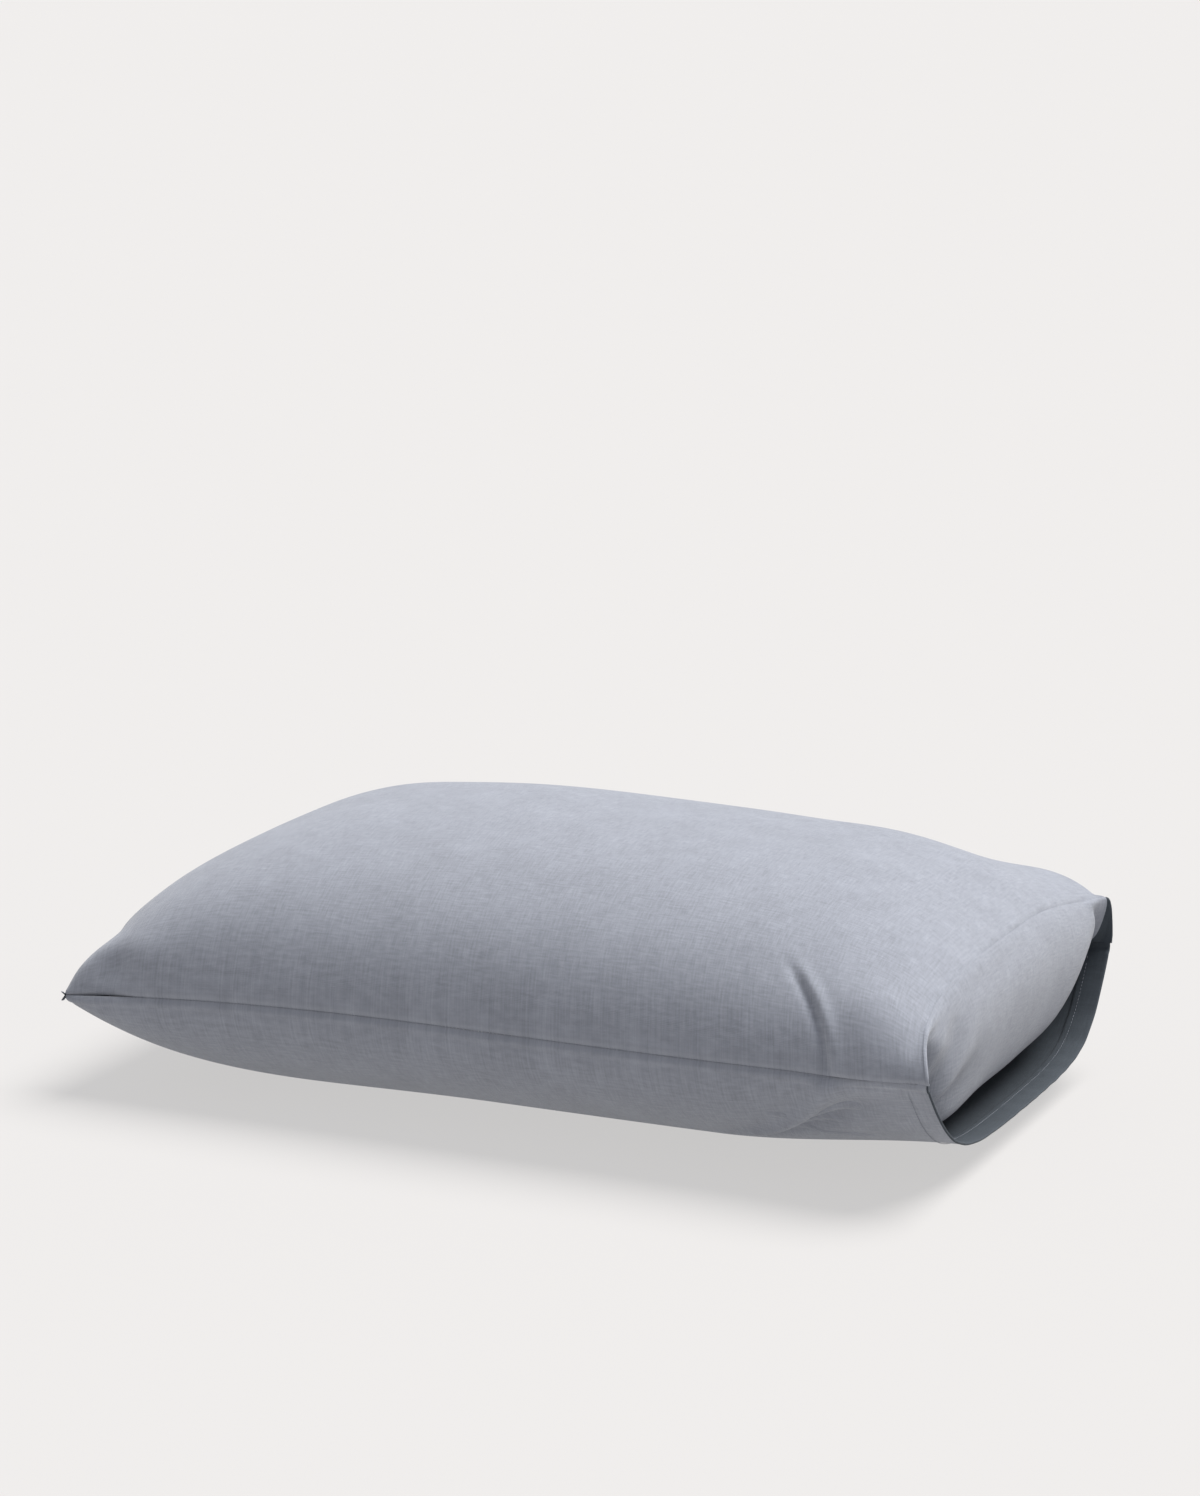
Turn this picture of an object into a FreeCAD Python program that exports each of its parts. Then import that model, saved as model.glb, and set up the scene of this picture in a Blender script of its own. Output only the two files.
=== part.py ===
"""Bed pillow: a stuffed insert inside an envelope pillowcase, as a parametric document.

The pillow lies on its underside on a flat surface. +X runs from the sewn closed end to the open
mouth, +Y runs across it and +Z is up. The origin is the middle of the footprint, on the
surface it lies on. All sizes are millimetres.

The case and the insert are one family of skins. Each skin is the case's outer surface moved
inwards by an inset, so every layer takes its place from the layers outside it.
"""

import FreeCAD
import Part
import Sketcher

import math
import os

SHEET_VALUES = [
    ("case_length", 700, "closed end to the lip of the mouth, as stuffed"),
    ("case_width", 412, "side seam to side seam, as stuffed"),
    ("seam_rise", 92, "height of the side seams at half the length"),
    ("closed_seam_rise", 80, "height of the seam at the closed end"),
    ("mouth_seam_rise", 92, "height of the side seams at the mouth"),
    ("crown", 125, "greatest height of the top above the side seams"),
    ("belly", 99, "greatest drop of the underside below the seams, before the floor stops it"),
    ("closed_end_power", 2.8, "roundness of the closed end, seen from the side"),
    ("mouth_end_power", 3.2, "roundness towards the mouth, seen from the side"),
    ("side_power", 2.2, "roundness of the cross-section, 2 is an ellipse"),
    ("mouth_top_share", 0.5, "height left at the mouth above the seams, as a share"),
    ("mouth_lip_share", 0.84, "drop left at the mouth below the seams, as a share"),
    ("resting_press", 0.5, "how far the underside is pressed flat where it rests"),
    ("lip_reach", 14, "how far the lip stands out past the top's mouth edge"),
    ("case_cloth", 0.8, "thickness of a ply of the case"),
    ("ply_gap", 1.2, "room between two plies that lie on each other"),
    ("stitch_gap", 0.15, "room between a turned hem and its own ply"),
    ("flap_depth", 105, "how far the tucked flap reaches in under the insert"),
    ("flap_span", 0.96, "share of the case's width that the flap takes"),
    ("flap_start_gap", 1.5, "distance of the flap's fold behind the top's mouth edge"),
    ("flap_seam_gap", 3, "distance of the flap's sewing behind the flap's fold"),
    ("flap_tuck_share", 0.35, "place where the flap turns under, as a share of insert_end_room"),
    ("flap_turn_power", 1.5, "how late the flap leaves the upright as it goes down"),
    ("seam_ease_power", 2.5, "how late the side seams leave their middle height"),
    ("mouth_hem_width", 20, "turned hem of the lip"),
    ("flap_hem_width", 15, "turned hem of the flap's free edge"),
    ("hem_line_share", 0.8, "place of a hem's stitch line, as a share of the hem's width"),
    ("thread_radius", 0.2, "sewing thread"),
    ("thread_gap", 0.45, "room beside a thread"),
    ("seam_end_gap", 25, "where a side seam's thread ends, before the mouth"),
    ("seam_start_gap", 15, "where a seam's thread starts, from the closed end's corners"),
    ("body_gap", 0.9, "room between the case with its hems and the insert"),
    ("insert_end_room", 42, "from the insert's mouth end to the top's mouth edge"),
    ("piping_radius", 1.8, "corded edge of the insert"),
    ("piping_gap", 0.3, "room between the piping and the covers it edges"),
    ("piping_break", 1.0, "gap where the two ends of the piping meet"),
    ("ticking_cloth", 0.6, "thickness of the insert's cover"),
    ("fill_gap", 0.3, "room between the filling and its cover"),
    ("insert_corner_radius", 30, "corner of the insert, seen from above"),
    ("label_cloth", 0.4, "thickness of a care label"),
    ("case_label_width", 30, "across the case's care label"),
    ("case_label_drop", 50, "height of the case's care label"),
    ("case_label_offset", 95, "from the middle of the mouth to the case's label"),
    ("insert_label_width", 38, "across the insert's care label"),
    ("insert_label_drop", 46, "height of the insert's care label"),
    ("insert_label_offset", -70, "from the middle of the mouth to the insert's label"),
    ("label_gap", 1.2, "room between the piping and a label, and between the two labels"),
    ("label_corner", 3, "rounded corner of a label"),
]

ACROSS_SPANS = 33  # knot spans from side seam to side seam
ALONG_SPANS = 42   # knot spans from end to end
STRIP_SPANS = 5    # knot spans across a hem
EVEN_SHARE = 0.15  # how far the eased knots are moved back to even steps
DOWN_FLAP = 16     # control points down the flap, in front of the insert
UNDER_FLAP = 10    # control points of the flap's tucked part
THREAD_SIDES = 6   # flat sides of a thread
PIPING_SIDES = 12  # flat sides of the piping
CORNER_STEPS = 12  # steps round a corner of the insert's edge
EDGE_PITCH = 6     # longest step along the insert's edge
DEGREE = 3         # of every smooth curve and face

doc = FreeCAD.newDocument("bed_pillow")
sheet = doc.addObject("Spreadsheet::Sheet", "sizes")
for row, (alias, number, note) in enumerate(SHEET_VALUES, start=1):
    sheet.set("A%d" % row, alias)
    sheet.set("B%d" % row, str(number))
    sheet.set("C%d" % row, note)
    sheet.setAlias("B%d" % row, alias)
doc.recompute()


def size(alias):
    """A driving dimension, read from the sheet."""
    return float(sheet.get(alias))


class Skin:
    """The case's outer surface, moved inwards.

    plan_inset moves the outline seen from above, height_inset moves the top and the underside.
    end_x is where the skin ends towards the mouth. A skin with rounded corners comes together
    there in a seam, as the insert does. One with none is open there, as the case is.
    """

    def __init__(self, plan_inset, height_inset, end_x, corner=None):
        self.closed_end = size("case_length") / 2 - plan_inset
        self.half_width = size("case_width") / 2 - plan_inset
        self.crown = size("crown") - height_inset
        self.belly = size("belly") - height_inset
        self.floor = height_inset
        self.end_x = end_x
        self.closed = corner is not None
        self.corner = corner or 0

    def width_at(self, x):
        """Half the width at x, which narrows round the corners of a closed skin."""
        to_end = self.end_x - x if x > 0 else self.closed_end + x
        into_corner = max(0.0, self.corner - to_end)
        return self.half_width - self.corner + math.sqrt(
            max(0.0, self.corner ** 2 - into_corner ** 2))

    def seam_height(self, x):
        """Height of the side seams: level in the middle, easing to its value at each end."""
        end = "closed_seam_rise" if x < 0 else "mouth_seam_rise"
        share = min(1.0, abs(x) / (size("case_length") / 2)) ** size("seam_ease_power")
        return size("seam_rise") + (size(end) - size("seam_rise")) * share

    def fullness(self, x, mouth_share):
        """Squared share of the full height that is left at x."""
        if x < 0:
            return 1 - min(1.0, -x / self.closed_end) ** size("closed_end_power")
        if self.closed:
            return 1 - min(1.0, x / self.end_x) ** size("closed_end_power")
        toward_mouth = (x / (size("case_length") / 2)) ** size("mouth_end_power")
        return 1 - (1 - mouth_share ** 2) * toward_mouth

    def swell(self, x, v, mouth_share):
        """Share of the full height at x and at the share v of the half width."""
        across = 1 - min(1.0, abs(v)) ** size("side_power")
        return math.sqrt(max(0.0, self.fullness(x, mouth_share) * across))

    def top(self, x, v):
        z = self.seam_height(x) + self.crown * self.swell(x, v, size("mouth_top_share"))
        return FreeCAD.Vector(x, v * self.width_at(x), z)

    def underside(self, x, v):
        drop = self.belly * self.swell(x, v, size("mouth_lip_share"))
        z = max(self.floor, self.seam_height(x) - drop)
        return FreeCAD.Vector(x, v * self.width_at(x), z)


def even_knots(spans):
    """Knots from 0 to 1 at even steps."""
    return [i / spans for i in range(spans + 1)]


def eased_knots(spans):
    """Knots from 0 to 1, close together near both ends."""
    eased = [(1 - math.cos(math.pi * i / spans)) / 2 for i in range(spans + 1)]
    return [place + (even - place) * EVEN_SHARE for place, even in zip(eased, even_knots(spans))]


def shares_for(knots):
    """Where a curve's control points stand, so that it runs evenly along a straight line."""
    row = [knots[0]] * DEGREE + knots + [knots[-1]] * DEGREE
    return [sum(row[i + 1:i + 1 + DEGREE]) / DEGREE for i in range(len(knots) + DEGREE - 1)]


def knots_along(points):
    """Knots for a row of control points, from their distances along the row."""
    run = [0.0]
    for before, after in zip(points, points[1:]):
        run.append(run[-1] + (after - before).Length)
    inner = [sum(run[i:i + DEGREE]) / DEGREE / run[-1] for i in range(1, len(run) - DEGREE)]
    return [0.0] + inner + [1.0]


ACROSS_KNOTS = eased_knots(ACROSS_SPANS)
ALONG_KNOTS = eased_knots(ALONG_SPANS)
STRIP_KNOTS = even_knots(STRIP_SPANS)


def across_shares(span=1.0):
    """Shares of the half width, from one side seam to the other."""
    return [span * (2 * share - 1) for share in shares_for(ACROSS_KNOTS)]


def between(first, last, knots):
    """Places from first to last, spaced for these knots."""
    return [first * (1 - share) + last * share for share in shares_for(knots)]


def along_positions(skin):
    """Places along X from end to end of a skin."""
    return between(-skin.closed_end, skin.end_x, ALONG_KNOTS)


def clamped(knots):
    """How often each knot counts, and the knots, one apart on average.

    The curve starts and ends on its end points.
    """
    spans = len(knots) - 1
    return [DEGREE + 1] + [1] * (spans - 1) + [DEGREE + 1], [spans * knot for knot in knots]


def surface_over(points, u_knots, v_knots):
    """Smooth face whose control points are a grid of points."""
    u_mults, u_places = clamped(u_knots)
    v_mults, v_places = clamped(v_knots)
    surface = Part.BSplineSurface()
    surface.buildFromPolesMultsKnots(
        points, u_mults, v_mults, u_places, v_places, False, False, DEGREE, DEGREE)
    return surface


def edge_over(points, knots):
    """Smooth edge whose control points are a row of points."""
    mults, places = clamped(knots)
    curve = Part.BSplineCurve()
    curve.buildFromPolesMultsKnots(points, mults, places, False, DEGREE)
    return curve.toShape()


def closed_solid(faces, name):
    """One solid from faces that meet all round."""
    shell = Part.Shell(faces)
    shell.sewShape()
    solid = Part.makeSolid(shell)
    if solid.Volume < 0:
        solid.reverse()
    if not solid.isValid() or not solid.isClosed():
        raise ValueError("%s isn't one closed, valid solid" % name)
    return solid


def ply(outer, inner, u_knots, name):
    """A sheet of cloth between an outer and an inner grid of control points."""
    faces = [surface_over(side, u_knots, ACROSS_KNOTS).toShape() for side in (outer, inner)]
    borders = [
        (outer[0], inner[0], ACROSS_KNOTS),
        (outer[-1], inner[-1], ACROSS_KNOTS),
        ([line[0] for line in outer], [line[0] for line in inner], u_knots),
        ([line[-1] for line in outer], [line[-1] for line in inner], u_knots),
    ]
    faces += [Part.makeRuledSurface(edge_over(a, knots), edge_over(b, knots))
              for a, b, knots in borders]
    return closed_solid(faces, name)


def grid(side, places, shares):
    """Points of one side of a skin, as lines across it."""
    return [[side(x, v) for v in shares] for x in places]


def cord(path, knots, radius, sides, name):
    """A thread or a piping cord, with this many sides, along a path that never runs upright."""
    rings = []
    for i, here in enumerate(path):
        ahead = (path[min(len(path) - 1, i + 1)] - path[max(0, i - 1)]).normalize()
        beside = ahead.cross(FreeCAD.Vector(0, 0, 1)).normalize()
        above = beside.cross(ahead)
        turns = [2 * math.pi * k / sides for k in range(sides)]
        rings.append([here + beside * (radius * math.cos(turn)) + above * (radius * math.sin(turn))
                      for turn in turns])
    runs = [edge_over([ring[k] for ring in rings], knots) for k in range(sides)]
    faces = [Part.makeRuledSurface(runs[k], runs[(k + 1) % sides]) for k in range(sides)]
    for ring in (rings[0], rings[-1]):
        faces.append(Part.Face(Part.makePolygon(ring + [ring[0]])))
    return closed_solid(faces, name)


def add_piece(name, shape):
    """Sub-part whose own shape is set here, at the document's origin."""
    piece = doc.addObject("Part::Feature", name)
    piece.Label = name
    piece.Shape = shape
    piece.Placement = FreeCAD.Placement()
    return piece


# Insets of the layers, from the case's outer surface inwards.
CLOTH = size("case_cloth")
HEM_OUTER = CLOTH + size("stitch_gap")
HEM_INNER = HEM_OUTER + CLOTH
FLAP_OUTER = CLOTH + size("ply_gap")
FLAP_INNER = FLAP_OUTER + CLOTH
FLAP_HEM_OUTER = FLAP_INNER + size("stitch_gap")
FLAP_HEM_INNER = FLAP_HEM_OUTER + CLOTH
INSERT_OUTER = FLAP_HEM_INNER + size("body_gap")
THREAD_INSET = size("thread_gap") + size("thread_radius")
EDGE_INSET = INSERT_OUTER + 2 * size("piping_radius") + size("piping_gap")

LIP_X = size("case_length") / 2
TOP_EDGE_X = LIP_X - size("lip_reach")
INSERT_END_X = TOP_EDGE_X - size("insert_end_room")
TICKING_END_X = INSERT_END_X - (EDGE_INSET - INSERT_OUTER)
FLAP_FOLD_X = TOP_EDGE_X - size("flap_start_gap")
FLAP_TUCK_X = INSERT_END_X + size("insert_end_room") * size("flap_tuck_share")
FLAP_FREE_X = INSERT_END_X - size("flap_depth")


def case_skin(inset, end_x):
    return Skin(inset, inset, end_x)


def build_case_top():
    """Top panel, from the closed end's seam to the mouth's upper edge."""
    name = "case_top_panel"
    outside = case_skin(0, TOP_EDGE_X)
    inside = case_skin(CLOTH, TOP_EDGE_X)
    outer = grid(outside.top, along_positions(outside), across_shares())
    inner = grid(inside.top, along_positions(inside), across_shares())
    add_piece(name, ply(outer, inner, ALONG_KNOTS, name))


def build_case_bottom():
    """Bottom panel, whose lip stands out past the top. It is cut flat where it rests."""
    name = "case_bottom_panel"
    outside = case_skin(0, LIP_X)
    outside.floor = -size("resting_press")
    inside = case_skin(CLOTH, LIP_X)
    outer = grid(outside.underside, along_positions(outside), across_shares())
    inner = grid(inside.underside, along_positions(inside), across_shares())
    cloth = add_piece(name + "_cloth", ply(outer, inner, ALONG_KNOTS, name))
    ground = doc.addObject("Part::Box", "ground")
    ground.setExpression("Length", "sizes.case_length")
    ground.setExpression("Width", "sizes.case_width")
    ground.setExpression("Height", "sizes.resting_press * 2")
    ground.setExpression("Placement.Base.x", "-sizes.case_length / 2")
    ground.setExpression("Placement.Base.y", "-sizes.case_width / 2")
    ground.setExpression("Placement.Base.z", "-sizes.resting_press * 2")
    rested = doc.addObject("Part::Cut", name)
    rested.Label = name
    rested.Base = cloth
    rested.Tool = ground


def flap_profile():
    """Profile of the flap as (x, height share), from its fold down and in under the insert.

    The height share is 1 on the top's own height and -1 on the underside's.
    """
    profile = []
    for i in range(DOWN_FLAP):
        down = i / (DOWN_FLAP - 1)
        x = FLAP_FOLD_X + (FLAP_TUCK_X - FLAP_FOLD_X) * down ** size("flap_turn_power")
        profile.append((x, math.cos(math.pi * down)))
    for i in range(1, UNDER_FLAP + 1):
        x = FLAP_TUCK_X + (FLAP_FREE_X - FLAP_TUCK_X) * i / UNDER_FLAP
        profile.append((x, -1.0))
    return profile


def flap_point(x, share, v, inset):
    """Point of the flap at a height share between the top and the underside."""
    skin = case_skin(inset, LIP_X)
    top = skin.top(x, v)
    low = skin.underside(x, v)
    z = low.z + (top.z - low.z) * (share + 1) / 2
    return FreeCAD.Vector(x, top.y, z)


def flap_grid(inset):
    """Points of one side of the flap. The side that faces the insert is also moved in along X."""
    profile = flap_profile()
    half_height = (size("crown") + size("belly")) / 2
    lines = []
    for i, (x, share) in enumerate(profile):
        x_before, share_before = profile[max(0, i - 1)]
        x_after, share_after = profile[min(len(profile) - 1, i + 1)]
        run = x_after - x_before
        fall = (share_after - share_before) * half_height
        steep = abs(fall) / math.hypot(run, fall)
        moved = x - steep * (inset - FLAP_OUTER)
        line = [flap_point(moved, share, v, inset) for v in across_shares(size("flap_span"))]
        lines.append(line)
    return lines


def build_flap():
    """Flap that hangs from the top's mouth edge and is tucked in under the insert."""
    outer = flap_grid(FLAP_OUTER)
    inner = flap_grid(FLAP_INNER)
    middle = len(outer[0]) // 2
    knots = knots_along([line[middle] for line in outer])
    add_piece("case_flap", ply(outer, inner, knots, "case_flap"))


def underside_strip(name, from_x, to_x, outer_inset, inner_inset, span):
    """Turned hem that lies on the inner side of a ply of the underside."""
    places = between(from_x, to_x, STRIP_KNOTS)
    outer = grid(case_skin(outer_inset, LIP_X).underside, places, across_shares(span))
    inner = grid(case_skin(inner_inset, LIP_X).underside, places, across_shares(span))
    add_piece(name, ply(outer, inner, STRIP_KNOTS, name))


def build_hems():
    """The lip's hem, and the hem along the flap's free edge."""
    underside_strip("case_mouth_hem", LIP_X - size("mouth_hem_width"), LIP_X,
                    HEM_OUTER, HEM_INNER, 1.0)
    underside_strip("case_flap_hem", FLAP_FREE_X, FLAP_FREE_X + size("flap_hem_width"),
                    FLAP_HEM_OUTER, FLAP_HEM_INNER, size("flap_span"))


def add_thread(name, path, knots):
    """A line of sewing as its own sub-part."""
    add_piece(name, cord(path, knots, size("thread_radius"), THREAD_SIDES, name))


def thread_across(name, x, inset, side_name, span):
    """Line of stitching from side to side at one place along the case."""
    skin = case_skin(inset, LIP_X)
    side = skin.top if side_name == "top" else skin.underside
    add_thread(name, [side(x, v) for v in across_shares(span)], ACROSS_KNOTS)


def build_case_threads():
    """Sewing of the side seams, the closed end, the flap's seam and the two hems."""
    skin = case_skin(CLOTH + THREAD_INSET, LIP_X)
    last_x = LIP_X - size("seam_end_gap")
    first_x = -skin.closed_end + size("seam_start_gap")
    for name, side in (("case_near_seam_thread", -1), ("case_far_seam_thread", 1)):
        places = between(first_x, last_x, ALONG_KNOTS)
        add_thread(name, [skin.top(x, side) for x in places], ALONG_KNOTS)
    half = skin.half_width - size("seam_start_gap")
    end = [skin.top(-skin.closed_end, share * half / skin.half_width)
           for share in across_shares()]
    add_thread("case_closed_end_thread", end, ACROSS_KNOTS)
    thread_across("case_flap_seam_thread", FLAP_FOLD_X - size("flap_seam_gap"),
                  CLOTH + THREAD_INSET, "top", size("flap_span"))
    thread_across("case_mouth_hem_thread", LIP_X - size("mouth_hem_width") * size("hem_line_share"),
                  HEM_INNER + THREAD_INSET, "underside", size("flap_span"))
    thread_across("case_flap_hem_thread", FLAP_FREE_X + size("flap_hem_width") * size("hem_line_share"),
                  FLAP_HEM_INNER + THREAD_INSET, "underside", size("flap_span"))


def insert_skin(extra):
    """A layer of the insert, inside its piped edge."""
    return Skin(EDGE_INSET + extra, INSERT_OUTER + extra, TICKING_END_X - extra,
                size("insert_corner_radius") - extra)


def build_insert_covers():
    """The two halves of the insert's ticking cover."""
    outside = insert_skin(0)
    inside = insert_skin(size("ticking_cloth"))
    for name, side in (("insert_ticking_top", "top"), ("insert_ticking_bottom", "underside")):
        outer = grid(getattr(outside, side), along_positions(outside), across_shares())
        inner = grid(getattr(inside, side), along_positions(inside), across_shares())
        add_piece(name, ply(outer, inner, ALONG_KNOTS, name))


def build_insert_fill():
    """Fibre filling: one closed body that fills the ticking."""
    skin = insert_skin(size("ticking_cloth") + size("fill_gap"))
    places = along_positions(skin)
    upper = surface_over(grid(skin.top, places, across_shares()), ALONG_KNOTS, ACROSS_KNOTS)
    lower = surface_over(grid(skin.underside, places, across_shares()), ALONG_KNOTS, ACROSS_KNOTS)
    add_piece("insert_fill", closed_solid([upper.toShape(), lower.toShape()], "insert_fill"))


def outline_path(reach, drop):
    """Path round the insert's edge, this far outside it and below its seam.

    It starts and ends at the middle of the closed end, where the cord's ends meet.
    """
    skin = insert_skin(0)
    corner = skin.corner + reach
    left = -skin.closed_end - reach
    right = skin.end_x + reach
    half_width = skin.half_width + reach
    flat = [(left, -size("piping_break") / 2)]
    for centre_x, centre_y, start in ((left + corner, -half_width + corner, 180),
                                      (right - corner, -half_width + corner, 270),
                                      (right - corner, half_width - corner, 0),
                                      (left + corner, half_width - corner, 90)):
        for step in range(CORNER_STEPS + 1):
            turn = math.radians(start + 90 * step / CORNER_STEPS)
            flat.append((centre_x + corner * math.cos(turn), centre_y + corner * math.sin(turn)))
    flat.append((left, size("piping_break") / 2))
    path = [flat[0]]
    for (x0, y0), (x1, y1) in zip(flat, flat[1:]):
        parts = max(1, math.ceil(math.hypot(x1 - x0, y1 - y0) / EDGE_PITCH))
        path += [(x0 + (x1 - x0) * i / parts, y0 + (y1 - y0) * i / parts)
                 for i in range(1, parts + 1)]
    return [FreeCAD.Vector(x, y, skin.seam_height(x) - drop) for x, y in path]


def build_insert_edge():
    """Piping round the insert's edge, and the thread that sews it in, just under it."""
    radius = size("piping_radius")
    path = outline_path(radius + size("piping_gap"), 0)
    piping = cord(path, knots_along(path), radius, PIPING_SIDES, "insert_piping")
    add_piece("insert_piping", piping)
    under = outline_path(THREAD_INSET, radius + THREAD_INSET)
    add_thread("insert_seam_thread", under, knots_along(under))


def label_body(name, width_alias, drop_alias, x_expression, offset_alias):
    """Care label: a thin upright plate with rounded corners, standing across the mouth."""
    body = doc.addObject("PartDesign::Body", name)
    body.Label = name
    sketch = body.newObject("Sketcher::SketchObject", name + "_outline")
    plane = [f for f in body.Origin.OriginFeatures if f.Role == "YZ_Plane"][0]
    sketch.AttachmentSupport = [(plane, "")]
    sketch.MapMode = "FlatFace"
    half_width = size(width_alias) / 2
    half_drop = size(drop_alias) / 2
    corners = [FreeCAD.Vector(-half_width, -half_drop, 0), FreeCAD.Vector(half_width, -half_drop, 0),
               FreeCAD.Vector(half_width, half_drop, 0), FreeCAD.Vector(-half_width, half_drop, 0)]
    for i in range(4):
        sketch.addGeometry(Part.LineSegment(corners[i], corners[(i + 1) % 4]), False)
    for i in range(4):
        sketch.addConstraint(Sketcher.Constraint("Coincident", i, 2, (i + 1) % 4, 1))
    for i, way in enumerate(("Horizontal", "Vertical", "Horizontal", "Vertical")):
        sketch.addConstraint(Sketcher.Constraint(way, i))
    sketch.addConstraint(Sketcher.Constraint("Symmetric", 0, 1, 1, 2, -1, 1))
    width = sketch.addConstraint(Sketcher.Constraint("DistanceX", 0, 1, 0, 2, 2 * half_width))
    drop = sketch.addConstraint(Sketcher.Constraint("DistanceY", 1, 1, 1, 2, 2 * half_drop))
    sketch.setExpression("Constraints[%d]" % width, "sizes." + width_alias)
    sketch.setExpression("Constraints[%d]" % drop, "sizes." + drop_alias)
    pad = body.newObject("PartDesign::Pad", name + "_pad")
    pad.Profile = sketch
    pad.setExpression("Length", "sizes.label_cloth")
    doc.recompute()
    corners_cut = body.newObject("PartDesign::Fillet", name + "_corners")
    upright = ["Edge%d" % (i + 1) for i, edge in enumerate(pad.Shape.Edges)
               if abs(edge.tangentAt(edge.FirstParameter).x) > 0.9]
    corners_cut.Base = (pad, upright)
    corners_cut.setExpression("Radius", "sizes.label_corner")
    body.setExpression("Placement.Base.x", x_expression)
    body.setExpression("Placement.Base.y", "sizes." + offset_alias)
    body.setExpression("Placement.Base.z", "sizes.mouth_seam_rise")


piping_end_x = "sizes.case_length / 2 - sizes.lip_reach - sizes.insert_end_room"
build_case_top()
build_case_bottom()
build_flap()
build_hems()
build_case_threads()
build_insert_covers()
build_insert_fill()
build_insert_edge()
label_body("insert_care_label", "insert_label_width", "insert_label_drop",
           piping_end_x + " + sizes.label_gap", "insert_label_offset")
label_body("case_care_label", "case_label_width", "case_label_drop",
           piping_end_x + " + 2 * sizes.label_gap + sizes.label_cloth", "case_label_offset")
doc.recompute()

pieces = [item for item in doc.Objects if item.TypeId in ("Part::Feature", "Part::Cut", "PartDesign::Body")
          and not any(user.TypeId == "Part::Cut" for user in item.InList)]
for item in doc.Objects:
    if "Invalid" in item.State or "Error" in item.State:
        raise RuntimeError("%s did not compute: %s" % (item.Name, item.State))
for piece in pieces:
    if piece.Shape.isNull() or not piece.Shape.isValid():
        raise RuntimeError("%s has no valid shape" % piece.Label)

os.makedirs("parts", exist_ok=True)
for piece in pieces:
    piece.Shape.exportStep("parts/%s.step" % piece.Label)
    print(piece.Label, round(piece.Shape.Volume / 1000, 3), "cm3")
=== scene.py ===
"""Bed pillow in an envelope pillowcase: cloth panels, tucked flap, hems, stitching and the insert."""

import math

import bmesh
import bpy
import numpy as np
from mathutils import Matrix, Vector
from bpy.props import FloatProperty, FloatVectorProperty, IntProperty, PointerProperty


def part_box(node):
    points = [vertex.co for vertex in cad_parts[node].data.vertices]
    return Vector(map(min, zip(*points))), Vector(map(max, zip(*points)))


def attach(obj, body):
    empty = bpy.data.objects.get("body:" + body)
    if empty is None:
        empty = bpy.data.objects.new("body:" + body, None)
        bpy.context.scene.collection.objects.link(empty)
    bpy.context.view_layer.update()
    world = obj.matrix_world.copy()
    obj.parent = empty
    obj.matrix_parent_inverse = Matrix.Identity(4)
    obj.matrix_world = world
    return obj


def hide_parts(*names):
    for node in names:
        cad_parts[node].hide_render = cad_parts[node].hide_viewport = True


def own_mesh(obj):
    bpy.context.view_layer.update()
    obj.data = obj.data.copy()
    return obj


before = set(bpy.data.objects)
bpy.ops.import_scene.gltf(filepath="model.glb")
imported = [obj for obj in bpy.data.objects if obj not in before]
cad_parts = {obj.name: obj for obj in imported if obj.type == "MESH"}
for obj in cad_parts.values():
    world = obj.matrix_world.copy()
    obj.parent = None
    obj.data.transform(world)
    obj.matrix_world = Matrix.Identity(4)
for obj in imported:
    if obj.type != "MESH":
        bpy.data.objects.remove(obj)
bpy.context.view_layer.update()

bl_info = {
    "name": "Bed Pillow",
    "version": (1, 0, 0),
    "blender": (4, 5, 0),
    "location": "View3D > Sidebar > Pillow",
    "description": "Makes a bed pillow: an envelope case with its flap and hems, and the insert in it",
    "category": "Object",
}

CASE_LOW, CASE_HIGH = [np.array(corner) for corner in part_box("case_bottom_panel")]
TOP_LOW, TOP_HIGH = [np.array(corner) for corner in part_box("case_top_panel")]
INSERT_LOW, INSERT_HIGH = [np.array(corner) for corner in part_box("insert_piping")]
CLOSED_END_ROOM = 0.004  # the case's closed end is drawn in between its corners
INSERT_LOW[0] += CLOSED_END_ROOM
FLAP_LOW, FLAP_HIGH = [np.array(corner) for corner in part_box("case_flap")]
TICKING_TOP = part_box("insert_ticking_top")[1][2]

NEAR, FAR = -1.0, 1.0
FLAP_ROWS = 170
FLAP_HEM_ROWS = 14
FLAP_HEM_STITCH_ROW = 9
PIPING_ROOM = 0.004
PIPING_RADIUS = 0.0018
INSERT_CORNER = 0.030
INSERT_SEAM_Z = 0.092
INSERT_FLAT_LENGTH, INSERT_FLAT_WIDTH = 0.74, 0.48
STITCH_RADIUS = 0.00024


# ---------------------------------------------------------------- settings

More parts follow.
